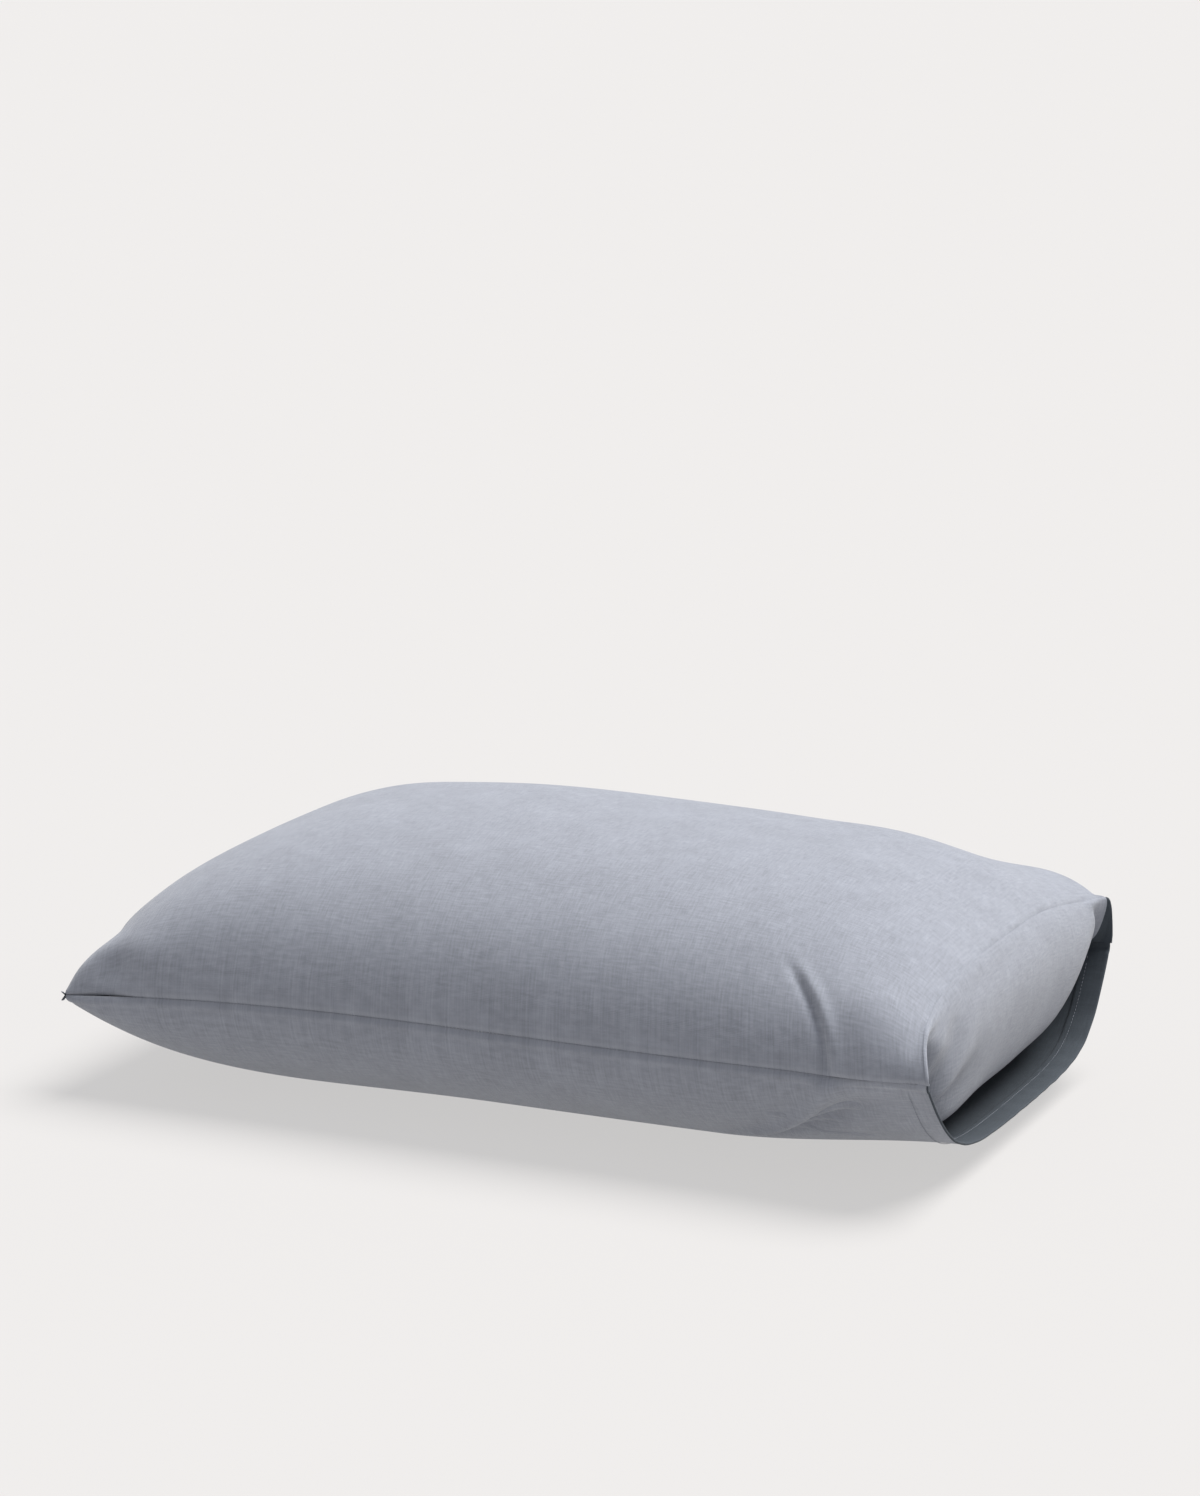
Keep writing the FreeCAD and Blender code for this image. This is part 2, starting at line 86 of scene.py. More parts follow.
class PillowCaseSizes(bpy.types.PropertyGroup):
    """Sizes of the stuffed case."""

    half_width: FloatProperty(
        name="Half width", description="Middle to a side seam", unit="LENGTH",
        default=float(CASE_HIGH[1]))
    closed_x: FloatProperty(
        name="Closed end", description="Where the corners of the closed end lie", unit="LENGTH",
        default=float(CASE_LOW[0]) - 0.004)
    lip_x: FloatProperty(
        name="Lip", description="Where the lip of the mouth ends", unit="LENGTH",
        default=float(CASE_HIGH[0]))
    mouth_x: FloatProperty(
        name="Upper edge of the mouth", description="Where the top panel turns into the flap",
        unit="LENGTH", default=float(TOP_HIGH[0]) + 0.001)
    seam_z: FloatProperty(
        name="Side seam height", description="At the middle of the length", unit="LENGTH",
        default=float(CASE_HIGH[2]))
    closed_seam_z: FloatProperty(
        name="Closed end's seam height", description="At the corners", unit="LENGTH", default=0.077)
    mouth_seam_z: FloatProperty(
        name="Mouth's seam height", description="Where the side seams end", unit="LENGTH",
        default=0.098)
    top_z: FloatProperty(
        name="Top", description="Highest place of the top panel", unit="LENGTH",
        default=float(TOP_HIGH[2]))
    mouth_rise: FloatProperty(
        name="Mouth rise", description="Upper edge of the mouth above the side seams",
        unit="LENGTH", default=0.053)
    lip_z: FloatProperty(
        name="Lip height", description="Lip of the mouth above the floor, at its middle",
        unit="LENGTH", default=0.021)
    belly: FloatProperty(
        name="Belly", description="Drop of the underside below the seams, before the floor",
        unit="LENGTH", default=0.099)
    cloth: FloatProperty(
        name="Cloth", description="Thickness of one ply", unit="LENGTH", default=0.0006)
    flat_length: FloatProperty(
        name="Flat length", description="Length of a panel before sewing", unit="LENGTH",
        default=0.75)
    flat_width: FloatProperty(
        name="Flat width", description="Width of a panel before sewing", unit="LENGTH", default=0.50)


class PillowColours(bpy.types.PropertyGroup):
    """Colours of the cloths and the stage, as linear values."""

    case: FloatVectorProperty(
        name="Case cloth", description="Grey-blue cotton", subtype="COLOR", size=3,
        default=(0.238, 0.252, 0.290), min=0, max=1)
    thread: FloatVectorProperty(
        name="Case thread", description="Sewing thread of the case", subtype="COLOR", size=3,
        default=(0.22, 0.235, 0.27), min=0, max=1)
    # Painted shade: the wrong side's colour is far darker than the case cloth and stands in for the
    # shade inside the mouth.
    reverse: FloatVectorProperty(
        name="Case cloth, wrong side", description="Deeper tone inside the mouth", subtype="COLOR",
        size=3, default=(0.044, 0.053, 0.064), min=0, max=1)
    ticking: FloatVectorProperty(
        name="Ticking", description="Cover of the insert", subtype="COLOR", size=3,
        default=(0.80, 0.79, 0.76), min=0, max=1)
    floor: FloatVectorProperty(
        name="Floor", description="Seamless paper", subtype="COLOR", size=3,
        default=(0.150, 0.146, 0.144), min=0, max=1)


class PillowDetail(bpy.types.PropertyGroup):
    """How finely the cloth is made."""

    along: IntProperty(name="Along", description="Points from end to end", default=240, min=40)
    across: IntProperty(name="Across", description="Points from seam to seam", default=170, min=40)
    stitch: FloatProperty(
        name="Stitch", description="Length of one stitch with its gap", unit="LENGTH",
        default=0.003)


def case_sizes():
    """Sizes of the case, from the scene."""
    return bpy.context.scene.pillow_case


def colours():
    """Colours, from the scene."""
    return bpy.context.scene.pillow_colours


def detail():
    """How finely the cloth is made, from the scene."""
    return bpy.context.scene.pillow_detail


# ---------------------------------------------------------------- array helpers

def ease(low, high, value):
    """Rises smoothly from 0 at low to 1 at high: 3t^2 - 2t^3."""
    t = np.clip((value - low) / (high - low), 0, 1)
    return t * t * (3 - 2 * t)


def bump(value, centre, width):
    """Bell of height 1 at the centre: exp(-((value - centre) / width)^2)."""
    return np.exp(-((value - centre) / width) ** 2)


def noise(x, y, seed):
    """Soft random field: a sum of sine waves with seeded directions, about -1 to 1."""
    rng = np.random.default_rng(seed)
    total = np.zeros(np.broadcast(x, y).shape)
    for _ in range(7):
        turn, phase, stretch = rng.uniform(0, 2 * np.pi, 2).tolist() + [rng.uniform(0.6, 1.6)]
        total = total + np.sin(stretch * (x * np.cos(turn) + y * np.sin(turn)) + phase)
    return total / 3.2


def normals(points):
    """Unit normals of a grid of points, along-derivative cross across-derivative."""
    along = np.gradient(points, axis=0)
    across = np.gradient(points, axis=1)
    normal = np.cross(along, across)
    length = np.linalg.norm(normal, axis=-1, keepdims=True)
    return normal / np.maximum(length, 1e-12)


def unit(vectors):
    """The same directions, each one long."""
    return vectors / np.maximum(np.linalg.norm(vectors, axis=-1, keepdims=True), 1e-12)


def run_length(points, axis):
    """Distance along the grid lines of one axis, from their first point."""
    step = np.linalg.norm(np.diff(points, axis=axis), axis=-1)
    zero = np.zeros_like(np.take(step, [0], axis=axis))
    return np.concatenate([zero, np.cumsum(step, axis=axis)], axis=axis)


def spline_rows(controls, count):
    """Cubic B-spline through space for each column of a grid of control points.

    The curve starts at the first row and ends at the last: the knots are clamped.
    """
    rows = len(controls)
    knots = np.concatenate([[0] * 3, np.arange(rows - 2), [rows - 3] * 3]).astype(float)
    t = np.linspace(0, rows - 3, count)
    t[-1] -= 1e-9
    basis = ((t[:, None] >= knots[:-1]) & (t[:, None] < knots[1:])).astype(float)
    for degree in (1, 2, 3):
        left = knots[degree:-1] - knots[:-degree - 1]
        right = knots[degree + 1:] - knots[1:-degree]
        rise = (t[:, None] - knots[:-degree - 1]) / np.where(left > 0, left, 1)
        fall = (knots[degree + 1:] - t[:, None]) / np.where(right > 0, right, 1)
        basis = (rise * (left > 0) * basis[:, :-1] + fall * (right > 0) * basis[:, 1:])
    return np.einsum("tk,k...->t...", basis, controls)


def quad_mesh(name, points, quads, uv=None):
    """Smooth mesh of four-sided faces, with a cloth UV map where one is given."""
    mesh = bpy.data.meshes.new(name)
    mesh.vertices.add(len(points))
    mesh.vertices.foreach_set("co", points.reshape(-1).astype(np.float32))
    mesh.loops.add(quads.size)
    mesh.loops.foreach_set("vertex_index", quads.reshape(-1).astype(np.int32))
    mesh.polygons.add(len(quads))
    mesh.polygons.foreach_set("loop_start", np.arange(0, quads.size, 4, dtype=np.int32))
    mesh.update(calc_edges=True)
    if uv is not None:
        layer = mesh.uv_layers.new(name="cloth")
        layer.data.foreach_set("uv", uv[quads.reshape(-1)].reshape(-1).astype(np.float32))
    mesh.polygons.foreach_set("use_smooth", np.ones(len(quads), bool))
    return mesh


def sheet_mesh(name, points, uv, flip=False):
    """Mesh of a grid of points with a UV map in metres of flat cloth and a sharp border."""
    rows, columns = points.shape[:2]
    index = np.arange(rows * columns).reshape(rows, columns)
    quads = np.stack([index[:-1, :-1], index[1:, :-1], index[1:, 1:], index[:-1, 1:]], -1)
    quads = quads.reshape(-1, 4)
    if flip:
        quads = quads[:, ::-1]
    mesh = quad_mesh(name, points.reshape(-1, 3), quads, uv.reshape(-1, 2))
    border = np.zeros((rows, columns), bool)
    border[[0, -1]] = True
    border[:, [0, -1]] = True
    ends = np.zeros(2 * len(mesh.edges), np.int32)
    mesh.edges.foreach_get("vertices", ends)
    sharp = border.reshape(-1)[ends.reshape(-1, 2)].all(1)
    mesh.attributes.new("sharp_edge", "BOOLEAN", "EDGE").data.foreach_set("value", sharp)
    return mesh


def add_piece(name, mesh, material, body, slot, *nodes):
    """Object at the origin that rides on a body and stands for CAD nodes."""
    piece = bpy.data.objects.new(name, mesh)
    bpy.context.scene.collection.objects.link(piece)
    mesh.materials.append(material)
    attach(piece, body)
    if nodes:
        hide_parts(*nodes)
    return piece


def thicken(piece, depth, offset=-1.0):
    """Solid cloth from a surface, grown inwards unless said otherwise."""
    solid = piece.modifiers.new("ply", "SOLIDIFY")
    solid.thickness = depth
    solid.offset = offset
    solid.use_even_offset = False


def flatten_with_insert(piece):
    """Gives the piece its own copy of its mesh."""
    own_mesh(piece)


# ---------------------------------------------------------------- shape of the case

def closed_end_x(v):
    """The closed end's seam is drawn in between its corners: by 6 mm times 1 - |v|^3."""
    drawn_in = 0.006
    return case_sizes().closed_x + drawn_in * (1 - np.abs(v) ** 3)


def mouth_edge_x(v):
    """The top's edge at the mouth reaches out to the lip at the two side seams."""
    c = case_sizes()
    reach = np.where(v < 0, np.abs(v) ** 9, np.abs(v) ** 12)
    return c.mouth_x - 0.002 + (c.lip_x - c.mouth_x + 0.002) * reach


def half_width_at(x):
    """Side seams are drawn in a little along the middle of the length."""
    c = case_sizes()
    share = np.clip(x / c.lip_x, -1, 1)
    return c.half_width - 0.003 * (1 - share ** 2)


def seam_height_at(x):
    """Height of the side seams: level in the middle, lower at the closed end, higher at the mouth."""
    c = case_sizes()
    share = np.clip(np.abs(x) / c.lip_x, 0, 1) ** 2.5
    end = np.where(x < 0, c.closed_seam_z, c.mouth_seam_z)
    return c.seam_z + (end - c.seam_z) * share


def arch(v, power):
    """Cross-section from seam to seam: (1 - |v|^power)^(1/2), a power of 2 being an ellipse."""
    return np.sqrt(np.clip(1 - np.abs(v) ** power, 0, 1))


def mouth_rise(v):
    """Rise of the mouth's upper edge above the seams: rounded near, square at the far corner."""
    rise = case_sizes().mouth_rise
    near = rise * arch(v, 3.2)
    far = (rise - 0.014 * ease(0.25, 0.97, v)) * arch(v, 200)
    return np.where(v < 0, near, far)


def top_point(x, v):
    """Point of the top panel at x and share v across, before its folds."""
    c = case_sizes()
    crown = c.top_z - c.seam_z
    to_closed = np.clip(x / closed_end_x(v), 0, 1)
    to_mouth = np.clip(x / c.mouth_x, 0, 1)
    mouth_share = c.mouth_rise / crown
    mouth_power = 3.3 - 0.5 * ease(0.4, 0.9, v)
    mouth_full = 1 - (1 - mouth_share ** 2) * to_mouth ** mouth_power
    full = np.where(x < 0, 1 - to_closed ** 3.1, mouth_full)
    body = crown * np.sqrt(np.clip(full, 0, 1)) * arch(v, 2.25 + 1.3 * ease(0.10, 0.33, -x))
    at_mouth = ease(0.22 - 0.09 * ease(0, 0.6, v), 0.336, x)
    rise = body + (mouth_rise(v) * np.sqrt(np.clip(full, 0, 1)) / mouth_share - body) * at_mouth
    return np.stack([x, v * half_width_at(x), seam_height_at(x) + rise], -1)


def lip_section(v):
    """Cross-section of the lip: steep sides into a flat middle, tanh of the distance to a seam."""
    steep = np.where(v < 0, 3.3, 4.35)
    return np.tanh(steep * (1 - np.abs(v))) / np.tanh(steep)


def bottom_point(x, v):
    """Point of the underside at x and share v across, stopped softly by the floor."""
    c = case_sizes()
    to_closed = np.clip(x / closed_end_x(v), 0, 1)
    to_mouth = np.clip(x / c.lip_x, 0, 1.05)
    full = np.where(x < 0, 1 - to_closed ** 4.6, 1 - 0.06 * to_mouth ** 3)
    power = 2.12 + 0.45 * ease(0.02, 0.30, -x)
    round_drop = c.belly * np.sqrt(np.clip(full, 0, 1)) * arch(v, power)
    lip_drop = (c.mouth_seam_z - c.lip_z) * lip_section(v)
    at_lip = ease(0.16, 0.35, x)
    raw = seam_height_at(x) - round_drop - (lip_drop - round_drop) * at_lip
    soft = 0.004
    floor = 0.0006
    z = floor + 0.5 * ((raw - floor) + np.sqrt((raw - floor) ** 2 + soft ** 2)) - soft * 0.1
    z = z + (raw - z) * ease(0.97, 1.0, np.abs(v))
    return np.stack([x, v * half_width_at(x), z], -1)


def across_shares(columns):
    """Shares from seam to seam, close together at both: a sine of even steps."""
    return np.sin(np.linspace(-0.5, 0.5, columns) * np.pi)


def lip_edge_x(v):
    """The bottom's edge at the lip is straight."""
    return 0 * v + case_sizes().lip_x


def panel_grid(rows, columns, end_x):
    """Grid of a panel from the closed end's seam to its edge at the mouth: x, share across and along."""
    t = np.linspace(0, 1, rows)[:, None]
    along = 0.5 * t + 0.5 * (1 - np.cos(np.pi * t)) / 2
    along, v = np.broadcast_arrays(along, across_shares(columns)[None, :])
    start = closed_end_x(v)
    return start + (end_x(v) - start) * along, v, along


def flat_uv(along, v):
    """Place on the flat panel, in metres."""
    c = case_sizes()
    return np.stack([along * c.flat_length, (v + 1) / 2 * c.flat_width], -1)


def fold(distance, width, ridge, valley):
    """Cross-section of one pressed fold: a valley before the line and a ridge after it."""
    s = distance / width
    return ridge * np.exp(-((s - 0.9) ** 2)) - valley * np.exp(-((s + 0.5) / 0.7) ** 2)


def seam_shown(v):
    """How far the flap's seam shows as a groove: not at all where the cloth rolls over near."""
    return 0.8 * ease(-0.35, 0.05, v)


def seam_groove(distance):
    """Depth of a sewn seam's groove at a distance from the seam line."""
    return -0.0017 * np.exp(-(distance / 0.0019) ** 2)


def seam_pucker(x, v, to_seam, seed):
    """Small puckers beside the side seams: a field of noise that fades with the distance."""
    pucker = noise(x * 190, v * 3, seed) * np.exp(-to_seam / 0.010) * ease(0, 0.004, to_seam)
    return 0.0005 * pucker


def top_relief(points, x, v):
    """Height of the top panel's folds and seam, added along its normals."""
    from_near = run_length(points, 1)
    to_seam = np.minimum(from_near, from_near[:, -1:] - from_near)
    from_end = run_length(points, 0)
    from_mouth = from_end[-1:] - from_end
    y = points[..., 1]
    calm = ease(0, 0.05, to_seam)
    relief = seam_groove(to_seam) + seam_groove(from_end) + seam_groove(from_mouth) * seam_shown(v)
    relief = relief + 0.0011 * noise(x * 17, v * 3.4, 3) * calm
    relief = relief + 0.0006 * noise(x * 45, v * 9, 4) * calm * ease(0.05, 0.3, np.abs(x))
    relief = relief + seam_pucker(x, v, to_seam, 5)
    gather = noise(y * 150, x * 12, 6) * np.exp(-from_mouth / 0.012) * ease(0, 0.003, from_mouth)
    relief = relief + 0.0006 * gather
    # Pressed fold that runs down to the near seam, a hand's width from the mouth.
    line_x = 0.226 + 0.23 * (-v - 0.772)
    reach = ease(0.76, 0.89, -v) * ease(0, 0.004, from_near)
    relief = relief + reach * fold(x - line_x, 0.0062, 0.0026, 0.0036)
    # Fullness of the cloth between that fold and the mouth.
    relief = relief + 0.0055 * bump(x, 0.300, 0.030) * bump(v, -0.90, 0.12)
    # Cloth gathered along the closed end: ridges that run in from its seam, fading inwards.
    ridges = np.cos(2 * np.pi * (y + 0.186) / 0.052) * np.exp(-(y + 0.2) / 0.11)
    relief = relief + 0.0045 * ridges * bump(from_end, 0.030, 0.026)
    small = np.cos(2 * np.pi * (y + 0.01) / 0.038) * bump(from_end, 0.022, 0.018)
    relief = relief + 0.0012 * small
    relief = relief - 0.0050 * bump(x, -0.312, 0.017) * bump(from_near, 0.022, 0.013)
    relief = relief + 0.0020 * bump(x, -0.285, 0.020) * bump(from_near, 0.035, 0.018)
    # Faint crease across the crown.
    relief = relief - 0.0012 * bump(x + 0.14 * (v + 0.1), -0.160, 0.012) * bump(v, -0.02, 0.22)
    return relief


def bottom_relief(points, x, v):
    """Height of the bottom panel's seam ridge and folds, added along its normals."""
    from_near = run_length(points, 1)
    to_seam = np.minimum(from_near, from_near[:, -1:] - from_near)
    from_end = run_length(points, 0)
    relief = seam_groove(to_seam) + seam_groove(from_end)
    allowance = 0.0005 * bump(to_seam, 0.0055, 0.0022) - 0.0004 * bump(to_seam, 0.0085, 0.0014)
    relief = relief + allowance
    off_floor = ease(0.004, 0.03, points[..., 2])
    relief = relief + 0.0009 * noise(x * 20, v * 4, 8) * ease(0, 0.03, to_seam) * off_floor
    relief = relief + seam_pucker(x, v, to_seam, 9)
    # The fold of the top goes on below the seam and turns away towards the closed end.
    line_x = 0.277 - 0.185 * (1 + v) - 0.58 * (1 + v) ** 2
    reach = (1 - ease(0.16, 0.36, 1 + v)) * ease(0, 0.010, from_near)
    hollow = bump(x, line_x + 0.028, 0.019) * ease(0.02, 0.12, 1 + v)
    relief = relief + reach * (0.0062 * bump(x, line_x, 0.012) - 0.0064 * hollow)
    return relief


def top_surface(x, v):
    """The top panel with its folds, moved out along its normals."""
    points = top_point(x, v)
    return points + normals(points) * top_relief(points, x, v)[..., None]


def bottom_surface(x, v):
    """The bottom panel with its folds, moved out along its normals and stopped by the floor."""
    lowest = 0.0004
    points = bottom_point(x, v)
    lowered = points - normals(points) * bottom_relief(points, x, v)[..., None]
    lowered[..., 2] = np.maximum(lowered[..., 2], lowest)
    return lowered


def flap_surface(rows, columns):
    """The flap from its seam at the mouth's upper edge, over the insert's end and in under it.

    Each column is a B-spline down the flap. Its controls are the top panel's edge, a row that
    goes on along the top, the body rows, and rows just inside the bottom panel. A body row is
    an x place, a share of the height from the flap's lowest place to its seam, and a share of
    the recess. At the side seams the columns close up to the seam line itself, because the
    flap's sides are sewn in there, which leaves a pocket.
    """
    c = case_sizes()
    v = across_shares(columns)
    edge_x = mouth_edge_x(v)
    head = top_surface(*panel_grid(detail().along, columns, mouth_edge_x)[:2])[-1]
    low_z = bottom_point(np.full_like(v, 0.318), v)[:, 2] + 0.016 - 0.004 * bump(v, -0.6, 0.3)
    recess = np.where(v < 0, 0.030 * np.abs(v) ** 5, 0.009 * np.abs(v) ** 6)
    sewn = ease(0.88, 1.0, np.abs(v))
    body = [(0.3425, 0.90, 0.2), (0.3465, 0.80, 0.5), (0.3485, 0.67, 0.8), (0.3465, 0.49, 1.0),
            (0.3400, 0.29, 1.0), (0.3310, 0.12, 1.0), (0.3200, 0.02, 1.0), (0.3090, 0.0, 0.9)]
    hidden_x = [0.294, 0.275, 0.255, 0.235, 0.212, 0.190]
    inside = 0.0024
    lengths = np.linspace(0.004, 0.062, len(body))
    rolled = head + 0.0045 * unit(top_point(edge_x, v) - top_point(edge_x - 0.003, v))
    controls = [head, rolled]
    for (x, share, depth), length in zip(body, lengths):
        row = head.copy()
        row[:, 0] = x - recess * depth
        row[:, 2] = low_z + (head[:, 2] - low_z) * share
        seam_x = edge_x - length
        seam_y = 0.985 * v / np.abs(v).clip(1e-6) * half_width_at(seam_x) * np.abs(v)
        seam_row = np.stack([seam_x, seam_y, seam_height_at(seam_x)], -1)
        row = row + (seam_row - row) * sewn[:, None]
        controls.append(row)
    places = np.linspace(0.16, 0.33, 60)
    under = bottom_surface(*panel_strip(0.985 * v, places[0], places[-1], len(places)))
    tucked = under + inside * normals(under)
    controls.extend(rows_at(tucked, places, np.array(hidden_x)))
    return spline_rows(np.stack(controls), rows), v


def flap_relief(points, v):
    """Height of the flap's soft folds, added along its normals: a fan from its near low corner."""
    down = run_length(points, 0)
    y, z = points[..., 1], points[..., 2]
    reach_y, reach_z = y + 0.185, z - 0.035
    away = np.hypot(reach_y, reach_z)
    bearing = np.arctan2(reach_z, reach_y)
    shown = ease(0.01, 0.03, down) * (1 - ease(0.15, 0.18, down))
    fan = np.sin(bearing * 10 + 0.4) * bump(away, 0.065, 0.045)
    fan = fan - 1.7 * bump(y, -0.178, 0.012) * bump(z, 0.112, 0.022)
    fan = fan + 0.7 * bump(y, -0.150, 0.014) * bump(z, 0.100, 0.030)
    relief = 0.0042 * fan + 0.0012 * noise(y * 40, down * 10, 12) * ease(0, 0.02, down)
    gather = noise(y * 150, down * 12, 6) * np.exp(-down / 0.010) * ease(0, 0.002, down)
    return (relief + 0.0005 * gather) * shown


# ---------------------------------------------------------------- materials

def new_material(name):
    """Empty node material with a Principled shader, and its node tree."""
    material = bpy.data.materials.new(name)
    material.use_nodes = True
    tree = material.node_tree
    shader = tree.nodes["Principled BSDF"]
    return material, tree, shader


def node(tree, kind, inputs=None, **settings):
    """Adds a node, sets its settings, and its inputs by name or number."""
    made = tree.nodes.new(kind)
    for key, value in settings.items():
        setattr(made, key, value)
    for key, value in (inputs or {}).items():
        made.inputs[key].default_value = value
    return made


def streaks(tree, place, scale, detail):
    """Noise drawn out along one way of the cloth."""
    mapping = node(tree, "ShaderNodeMapping", {"Scale": (*scale, 1.0)})
    tree.links.new(place, mapping.inputs["Vector"])
    noise_node = node(tree, "ShaderNodeTexNoise", {"Scale": 1.0, "Detail": detail, "Roughness": 0.6})
    tree.links.new(mapping.outputs[0], noise_node.inputs["Vector"])
    return noise_node.outputs["Fac"]


def combine(tree, operation, first, second=None, third=None):
    """Math node on sockets or numbers."""
    made = node(tree, "ShaderNodeMath", operation=operation)
    for socket, value in zip(made.inputs, (first, second, third)):
        if value is None:
            continue
        if isinstance(value, (int, float)):
            socket.default_value = value
        else:
            tree.links.new(value, socket)
    return made.outputs[0]


def woven(name, colour, pitch, depth, roughness, sheen, mottle, slub):
    """Plain weave in the piece's cloth UV map, which is in metres.

    Height is |sin(pi x / pitch) sin(pi y / pitch)|, the crossings of warp and weft, with
    noise drawn out along each way for uneven yarn. Colour follows the yarn, and a soft
    mottling from washing.
    """
    material, tree, shader = new_material(name)
    place = node(tree, "ShaderNodeUVMap", uv_map="cloth").outputs["UV"]
    split = node(tree, "ShaderNodeSeparateXYZ")
    tree.links.new(place, split.inputs[0])
    waves = []
    for axis in ("X", "Y"):
        turn = combine(tree, "MULTIPLY", split.outputs[axis], math.pi / pitch)
        waves.append(combine(tree, "ABSOLUTE", combine(tree, "SINE", turn)))
    weave = combine(tree, "MULTIPLY", *waves)

    warp = streaks(tree, place, (70.0, 620.0), 3.0)
    weft = streaks(tree, place, (620.0, 70.0), 3.0)
    yarn = combine(tree, "ADD", warp, weft)
    cloud = streaks(tree, place, (26.0, 26.0), 5.0)
    yarn_tone = combine(tree, "MULTIPLY_ADD", combine(tree, "SUBTRACT", yarn, 1.0), slub, 1.0)
    tone = combine(tree, "MULTIPLY_ADD", combine(tree, "SUBTRACT", cloud, 0.5), mottle, yarn_tone)
    tint = node(tree, "ShaderNodeMix", data_type="RGBA", blend_type="MULTIPLY")
    tint.inputs[0].default_value = 1.0
    tint.inputs[6].default_value = (*colour, 1)
    tree.links.new(tone, tint.inputs[7])
    tree.links.new(tint.outputs[2], shader.inputs["Base Color"])

    height = combine(tree, "MULTIPLY_ADD", yarn, 1.3, weave)
    relief = node(tree, "ShaderNodeBump", {"Strength": 1.0, "Distance": depth})
    tree.links.new(height, relief.inputs["Height"])
    tree.links.new(relief.outputs["Normal"], shader.inputs["Normal"])
    shader.inputs["Roughness"].default_value = roughness
    shader.inputs["Specular IOR Level"].default_value = 0.2
    shader.inputs["Sheen Weight"].default_value = sheen
    shader.inputs["Sheen Roughness"].default_value = 0.5
    return material


def twisted(name, colour, pitch):
    """Thread: fine slanted stripes on Object coordinates, as its plies twist."""
    material, tree, shader = new_material(name)
    place = node(tree, "ShaderNodeTexCoord").outputs["Object"]
    wave = node(tree, "ShaderNodeTexWave", {"Scale": 1.0 / pitch, "Distortion": 1.5, "Detail": 1.0},
                bands_direction="DIAGONAL")
    tree.links.new(place, wave.inputs["Vector"])
    blend_two(tree, wave.outputs["Fac"], [c * 0.8 for c in colour],
              [min(1, c * 1.12) for c in colour], shader.inputs["Base Color"])
    relief = node(tree, "ShaderNodeBump", {"Strength": 0.6, "Distance": 0.0001})
    tree.links.new(wave.outputs["Fac"], relief.inputs["Height"])
    tree.links.new(relief.outputs["Normal"], shader.inputs["Normal"])
    shader.inputs["Roughness"].default_value = 0.7
    shader.inputs["Specular IOR Level"].default_value = 0.3
    return material


def blend_two(tree, factor, first, second, socket):
    """Mixes two colours by a factor into a socket."""
    mix = node(tree, "ShaderNodeMix", data_type="RGBA")
    mix.inputs[6].default_value = (*first, 1)
    mix.inputs[7].default_value = (*second, 1)
    tree.links.new(factor, mix.inputs[0])
    tree.links.new(mix.outputs[2], socket)


def ribbon_cloth():
    """Blank satin ribbon of a care label, with its close ribs on Object coordinates."""
    if "label_ribbon" in bpy.data.materials:
        return bpy.data.materials["label_ribbon"]
    material, tree, shader = new_material("label_ribbon")
    place = node(tree, "ShaderNodeTexCoord").outputs["Object"]
    wave = node(tree, "ShaderNodeTexWave", {"Scale": 900.0, "Distortion": 0.4}, bands_direction="Z")
    tree.links.new(place, wave.inputs["Vector"])
    cloud = node(tree, "ShaderNodeTexNoise", {"Scale": 60.0, "Detail": 3.0})
    tree.links.new(place, cloud.inputs["Vector"])
    blend_two(tree, cloud.outputs["Fac"], (0.70, 0.69, 0.66), (0.80, 0.79, 0.77),
              shader.inputs["Base Color"])
    relief = node(tree, "ShaderNodeBump", {"Strength": 0.5, "Distance": 0.0001})
    tree.links.new(wave.outputs["Fac"], relief.inputs["Height"])
    tree.links.new(relief.outputs["Normal"], shader.inputs["Normal"])
    shader.inputs["Roughness"].default_value = 0.45
    return material


def case_cloth():
    """Fine grey-blue cotton, matte, with a soft sheen."""
    made = bpy.data.materials.get("case_cotton")
    return made or woven("case_cotton", colours().case, pitch=0.00045, depth=0.00008,
                         roughness=0.85, sheen=0.20, mottle=0.30, slub=0.55)


def case_cloth_painted_shade():
    """The cloth's wrong side, in a far deeper tone: painted shade for the inside of the case, the lip's
    hem and the flap's far strip.
    """
    made = bpy.data.materials.get("case_cotton_painted_shade")
    return made or woven("case_cotton_painted_shade", colours().reverse, pitch=0.00045, depth=0.00007,
                         roughness=0.9, sheen=0.04, mottle=0.26, slub=0.40)


def ticking_cloth():
    """Close-woven off-white cotton of the insert."""
    made = bpy.data.materials.get("ticking_cotton")
    return made or woven("ticking_cotton", colours().ticking, pitch=0.0006, depth=0.00006,
                         roughness=0.75, sheen=0.15, mottle=0.08, slub=0.2)


def case_thread():
    """Grey-blue sewing thread."""
    made = bpy.data.materials.get("case_sewing_thread")
    return made or twisted("case_sewing_thread", colours().thread, pitch=0.0006)


def ticking_thread():
    """White sewing thread of the insert."""
    made = bpy.data.materials.get("ticking_sewing_thread")
    return made or twisted("ticking_sewing_thread", (0.78, 0.77, 0.74), pitch=0.0006)


